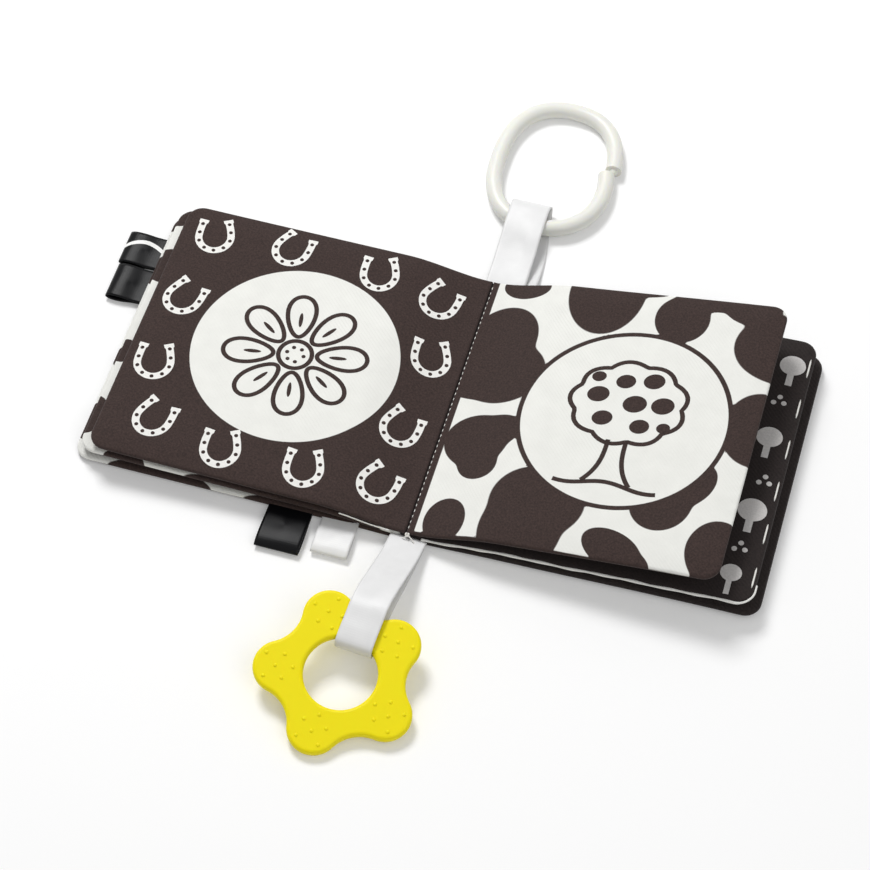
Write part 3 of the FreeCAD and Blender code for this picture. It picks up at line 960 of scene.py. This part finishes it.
# %% Grey motifs on the second right-hand page
little_trees = []
for tree_x, tree_y, size in [(151, 57, 1.0), (149, 14, 1.0), (150, -28, 1.1), (148, -62, 0.8)]:
    little_trees.append(round_patch((tree_x, tree_y + 4 * size), 6.2 * size, 5.6 * size))
    little_trees.append(strip([[tree_x, tree_y + step] for step in (1, -2, -5, -8)], 1.6 * size))
for dots_x, dots_y in [(149, 38), (152, -8), (149, -46)]:
    for dot_x, dot_y in [(-2.4, 0), (2.4, 0.4), (0, 3.6)]:
        little_trees.append(round_patch((dots_x + dot_x, dots_y + dot_y), 1.3, 1.3, count=7))
print_skin("grey_motifs", "right_middle_leaf", "pages", little_trees, grey_print)
print(len(little_trees), "grey shapes")

# %% [markdown]
# Thread shows as short white stitches: a row along the valley between the
# pages and a few long ones at the outer edge of the second page. A stitch is a
# short, slightly bowed tube that dips into the cloth at both ends.

# %% Thread
thread_twist = 0.4 * MM


def tube(line, radius, sides=8):
    """Tube of round section carried along a line; its radius may change on the way."""
    line = np.asarray(line, float)
    way = np.gradient(line, axis=0)
    way = way / np.linalg.norm(way, axis=1)[:, None]
    across = np.cross(way, [0, 0, 1.0])
    across = across / np.linalg.norm(across, axis=1)[:, None]
    up = np.cross(across, way)
    turn = np.linspace(0, 2 * math.pi, sides, endpoint=False)
    wide = np.broadcast_to(np.asarray(radius, float), (len(line),))[:, None, None]
    ring = np.cos(turn)[None, :, None] * across[:, None, :] + np.sin(turn)[None, :, None] * up[:, None, :]
    return line[:, None, :] + wide * ring


def thread_material():
    """Spun polyester thread: off-white, matt, with a fine twist across it."""
    material, tree, output = new_material("white_polyester_thread")
    place = add_node(tree, "ShaderNodeTexCoord").outputs["Object"]
    twist = add_node(tree, "ShaderNodeTexWave", {"Scale": wave_scale(thread_twist)}, {"Vector": place},
                     bands_direction="DIAGONAL")
    bump = add_node(tree, "ShaderNodeBump", {"Strength": 0.3, "Distance": 0.05 * MM},
                    {"Height": twist.outputs["Fac"]})
    shader = add_node(tree, "ShaderNodeBsdfPrincipled",
                      {"Base Color": linear("#f2f0ea"), "Roughness": 0.7, "Sheen Weight": 0.1},
                      {"Normal": bump.outputs["Normal"]})
    tree.links.new(shader.outputs["BSDF"], output.inputs["Surface"])
    return material


white_thread = thread_material()


def thread_piece(name, tubes):
    """Tubes of thread as one piece, which stays with the right-hand pages."""
    piece = make_grids(name, tubes, closed_columns=True)
    piece.data.materials.append(white_thread)
    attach(piece, "pages")


print("thread twist drawn every", thread_twist / MM, "mm")

# %% Stitches in the valley
valley_x, valley_height = 0.7, 7.15
stitch_step, stitch_length, stitch_bow, stitch_radius = 3.1, 2.3, 0.4, 0.26
share = np.linspace(0, 1, 9)
bow = np.sin(math.pi * share)
gutter_stitches = []
for start in np.arange(-half_length + 2, half_length - 3, stitch_step):
    line = np.stack([valley_x + 0 * share, start + stitch_length * share, valley_height + stitch_bow * bow], axis=1)
    gutter_stitches.append(tube(line, stitch_radius * np.clip(2 * bow, 0.15, 1)))
thread_piece("gutter_stitches", gutter_stitches)
print(len(gutter_stitches), "stitches in the gutter")

# %% Stitches at the outer edge of the second right-hand page
edge_stitch_x, edge_stitch_step, edge_stitch_length, edge_stitch_radius = 158.6, 24.0, 11, 0.42
second = leaves["right_middle_leaf"]
share = np.linspace(0, 1, 13)
outer_stitches = []
for start in np.arange(-64, 66, edge_stitch_step):
    y = start + edge_stitch_length * share
    line = on_page(second, edge_stitch_x + 0 * y, y, 2 * skin_lift)
    outer_stitches.append(tube(line, edge_stitch_radius * np.clip(2.5 * np.sin(math.pi * share), 0.2, 1)))
thread_piece("outer_edge_stitches", outer_stitches)
print(len(outer_stitches), "long stitches at the outer edge")

# %% [markdown]
# Where the pale underside of a dark page is sewn to its top, a thin wavy pale
# line shows along the near edge. It is a cord of cloth pressed out of the seam,
# so it is a tube that wanders a little as it follows the edge. The second
# right-hand page has a full one, and the left-hand page a thinner one, lower
# down, that ends 32 mm from the seam.

# %% Pale seam lines
cord_lift, cord_radius = 0.25, 0.62
left_cord_radius, left_cord_end = 0.34, -32
left_cord_shift = np.array([0, -0.35, -1.0])


def edge_route(leaf, start, stop, count):
    """Points along a leaf's near edge and round its outer near corner, at mid height."""
    width = leaf["reach"] - leaf_root(leaf)
    straight = width - corner_radius
    arc = corner_radius * math.pi / 2
    walk = np.linspace(start, straight + arc + stop, count)
    turn = np.clip((walk - straight) / corner_radius, 0, math.pi / 2)
    distance = np.minimum(walk, straight) + corner_radius * np.sin(turn)
    spot = -half_length + corner_radius * (1 - np.cos(turn)) + np.maximum(walk - straight - arc, 0)
    return distance, spot


def seam_line(leaf, start, stop, count):
    """Line along a leaf's near edge that wanders up and down as the sum of two sines."""
    distance, spot = edge_route(leaf, start, stop, count)
    points = leaf_surface(leaf, distance, spot, 1)
    points[:, 2] += cord_lift + 0.16 * np.sin(distance / 3.1) + 0.2 * np.sin(distance / 7.3 + 1)
    points[:, 1] -= 0.15
    return points, distance


def finish_seam(name, cords, body):
    """Cords of pale cloth as one piece that rides on a body."""
    piece = make_grids(name, cords, closed_columns=True)
    set_ink(piece, 1.0)
    piece.data.materials.append(white_print)
    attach(piece, body)


right_points, distance = seam_line(second, 5.0, 3.0, 240)
right_cord = tube(right_points, cord_radius * (1 + 0.16 * np.sin(distance / 2.3)))
finish_seam("pale_seam_line", [right_cord], "pages")
left_points = seam_line(leaves["left_top_leaf"], 5.0, 3.0, 400)[0]
left_points = left_points[left_points[:, 0] > left_cord_end] + left_cord_shift
finish_seam("pale_seam_line_left", [tube(left_points, left_cord_radius)], "front")
print("pale cords along the near edges of two leaves")

# %% [markdown]
# The valley's thread is tied off at its near end. The knot is a line that goes
# round twice while it rises and falls, and two tails hang from it to the sides.

# %% Thread knot at the near end of the valley
knot_middle = np.array([0.9, -75.6, 6.9])
knot_radius, tail_radius = 0.3, 0.26
turn = np.linspace(0, 4 * math.pi, 49)
knot = knot_middle + np.stack([0.8 * np.sin(turn), 0.7 * np.cos(turn), 0.5 * np.sin(1.5 * turn)], axis=1)
share = np.linspace(0, 1, 13)[:, None]
sag = np.sin(math.pi * share) * np.array([0.5, -0.3, 0.4])
tails = [knot_middle + share * np.array(end) + sag for end in ([4.2, -2.6, -1.8], [-2.0, -1.6, -1.4])]
thread_piece("thread_knot", [tube(knot, knot_radius)] + [tube(tail, tail_radius) for tail in tails])
print("knot tied with", len(tails), "tails")

# %% [markdown]
# The link ring is moulded polypropylene, slightly milky, with a soft gloss.
# Its CAD form is right, so it stays and only gets its finish. The teether is
# moulded from soft thermoplastic rubber: light goes a little way in, which
# makes the yellow glow at its rounded edges.

# %% Moulded plastics
moulded_mottle = 14 * MM


def moulded_material(name, colour, roughness, depth, grain, subsurface, gloss=0.5):
    """Moulded plastic: fine grain as bump, and light that scatters below the skin."""
    material, tree, output = new_material(name)
    place = add_node(tree, "ShaderNodeTexCoord").outputs["Object"]
    speck = add_node(tree, "ShaderNodeTexNoise", {"Scale": 1 / (grain * MM), "Detail": 3.0}, {"Vector": place})
    bump = add_node(tree, "ShaderNodeBump", {"Strength": depth, "Distance": 0.05 * MM},
                    {"Height": speck.outputs["Fac"]})
    mottle = add_node(tree, "ShaderNodeTexNoise", {"Scale": 1 / moulded_mottle, "Detail": 1.0}, {"Vector": place})
    rough = add_node(tree, "ShaderNodeMapRange", {"To Min": roughness - 0.05, "To Max": roughness + 0.07},
                     {"Value": mottle.outputs["Fac"]})
    shader = add_node(tree, "ShaderNodeBsdfPrincipled",
                      {"Base Color": linear(colour), "Subsurface Weight": subsurface,
                       "Subsurface Radius": (1.0, 0.8, 0.4), "Subsurface Scale": 1.5 * MM, "IOR": 1.49,
                       "Specular IOR Level": gloss},
                      {"Normal": bump.outputs["Normal"], "Roughness": rough.outputs["Result"]})
    tree.links.new(shader.outputs["BSDF"], output.inputs["Surface"])
    return material


ring_plastic = moulded_material("moulded_polypropylene", "#e9e9e2", 0.38, 0.2, 0.6, 0.3)
teether_rubber = moulded_material("moulded_thermoplastic_rubber", "#fbe900", 0.46, 0.25, 0.5, 0.2, 0.25)
for node, material in (("link_ring", ring_plastic), ("star_teether", teether_rubber)):
    mesh = bpy.data.objects[node].data
    if not mesh.materials:
        mesh.materials.append(material)
    bpy.data.objects[node].material_slots[0].link = "OBJECT"
    bpy.data.objects[node].material_slots[0].material = material
    print(node, "finished in", material.name)

# %% [markdown]
# Small raised dots are spread over the teether, for a baby's gums. Each is a
# low dome on the tilted plate. The plate's own three directions turn flat
# places into points in space: it is tipped about X and then about Y.

# %% Dots on the teether
dot_radius, dot_height, dot_root = 0.95, 0.45, 0.1
dot_places = [(29, 0), (34, -9), (34, 9), (26, -12), (26, 12), (21, 0)]
tipped_x = np.array([math.cos(star_lean), 0, -math.sin(star_lean)])
tipped_y = np.array([math.sin(star_lean) * math.sin(star_tilt), math.cos(star_tilt),
                     math.cos(star_lean) * math.sin(star_tilt)])
tipped_z = np.cross(tipped_x, tipped_y)
star_middle_point = np.array([*star_centre, star_middle])


def teether_dome(across, along):
    """Low dome at a place on the plate: a bent square grid whose height falls off as a
    circle's does, rooted a little below the plate's face."""
    flat = round_patch((0, 0), dot_radius, dot_radius, count=9)
    out = np.clip(np.hypot(flat[..., 0], flat[..., 1]) / dot_radius, 0, 1)
    rise = star_thickness / 2 - dot_root + (dot_height + dot_root) * np.sqrt(1 - out ** 2)
    return (star_middle_point + (across + flat[..., :1]) * tipped_x + (along + flat[..., 1:]) * tipped_y
            + rise[..., None] * tipped_z)


domes = []
for turn in arm_turns:
    for reach_out, swerve in dot_places:
        way = turn + math.radians(swerve)
        domes.append(teether_dome(reach_out * math.cos(way), reach_out * math.sin(way))[::-1])
teether_dots = make_grids("teether_dots", domes)
teether_dots.data.materials.append(teether_rubber)
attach(teether_dots, "teether")
print(len(domes), "raised dots")

# %% [markdown]
# A white table top without an edge. Its shadow matters, since it says that the
# book lies flat, so the table is a real surface. Where it is seen it also
# glows: a little round the book, which lifts the lit part to white and leaves
# the shadow, and more with the distance, so that no horizon shows.

# %% Table top
table_reach = 2.0
table_drop = 0.05
glow_range = (0.3, 1.3)
glow_levels = (0.155, 1.0)


def background_seen(tree):
    """1 for rays from the camera, a gloss or a clear piece, and 0 for light that falls on things."""
    path = add_node(tree, "ShaderNodeLightPath")
    seen = path.outputs["Is Camera Ray"]
    for kind in ("Is Glossy Ray", "Is Transmission Ray"):
        seen = add_node(tree, "ShaderNodeMath", links={0: seen, 1: path.outputs[kind]},
                        operation="MAXIMUM").outputs["Value"]
    return seen


floor_grid = np.array([[[-table_reach, -table_reach, 0], [-table_reach, table_reach, 0]],
                       [[table_reach, -table_reach, 0], [table_reach, table_reach, 0]]]) / MM
floor_grid[..., 2] = -table_drop
table = make_grids("table_top", [floor_grid])
table_finish, tree, output = new_material("white_table")
spread = add_node(tree, "ShaderNodeVectorMath",
                  links={0: add_node(tree, "ShaderNodeTexCoord").outputs["Object"]}, operation="LENGTH")
fade = add_node(tree, "ShaderNodeMapRange",
                {"From Min": glow_range[0], "From Max": glow_range[1],
                 "To Min": glow_levels[0], "To Max": glow_levels[1]},
                {"Value": spread.outputs["Value"]})
glow_level = add_node(tree, "ShaderNodeMath", links={0: background_seen(tree), 1: fade.outputs["Result"]},
                      operation="MULTIPLY")
glow = add_node(tree, "ShaderNodeEmission", links={"Strength": glow_level.outputs["Value"]})
matt = add_node(tree, "ShaderNodeBsdfDiffuse", {"Color": linear("#f2f2f2")})
both = add_node(tree, "ShaderNodeAddShader", links={0: glow.outputs["Emission"], 1: matt.outputs["BSDF"]})
tree.links.new(both.outputs["Shader"], output.inputs["Surface"])
table.data.materials.append(table_finish)
print("table top", 2 * table_reach, "m wide")

# %% [markdown]
# The light of a product shot: one wide lamp high at the far left, a weaker one
# from the right, and a pale room all round. Wide lamps give soft shadows.

# %% Lights
room_light, room_seen = 0.38, 1.0


def soft_lamp(name, place, size, power):
    """Square lamp that faces the book: place and size in metres, power in watts."""
    lamp = bpy.data.lights.new(name, "AREA")
    lamp.shape = "SQUARE"
    lamp.size = size
    lamp.energy = power
    piece = bpy.data.objects.new(name, lamp)
    bpy.context.scene.collection.objects.link(piece)
    piece.location = place
    way = -np.array(place, float)
    reach = np.linalg.norm(way)
    piece.rotation_euler = (math.acos(-way[2] / reach), 0, math.atan2(-way[0], way[1]))


soft_lamp("key_lamp", (-0.6, 0.7, 1.3), 0.5, 16.5)
soft_lamp("fill_lamp", (0.9, -0.6, 1.2), 1.0, 4)
world = bpy.data.worlds.new("pale_room")
bpy.context.scene.world = world
world.use_nodes = True
world.node_tree.nodes.clear()
room_level = add_node(world.node_tree, "ShaderNodeMapRange", {"To Min": room_light, "To Max": room_seen},
                      {"Value": background_seen(world.node_tree)})
room = add_node(world.node_tree, "ShaderNodeBackground", {"Color": (1, 1, 1, 1)},
                {"Strength": room_level.outputs["Result"]})
add_node(world.node_tree, "ShaderNodeOutputWorld", links={"Surface": room.outputs["Background"]})
bpy.context.scene.view_settings.view_transform = "Standard"
print("lit by two soft lamps and a pale room")
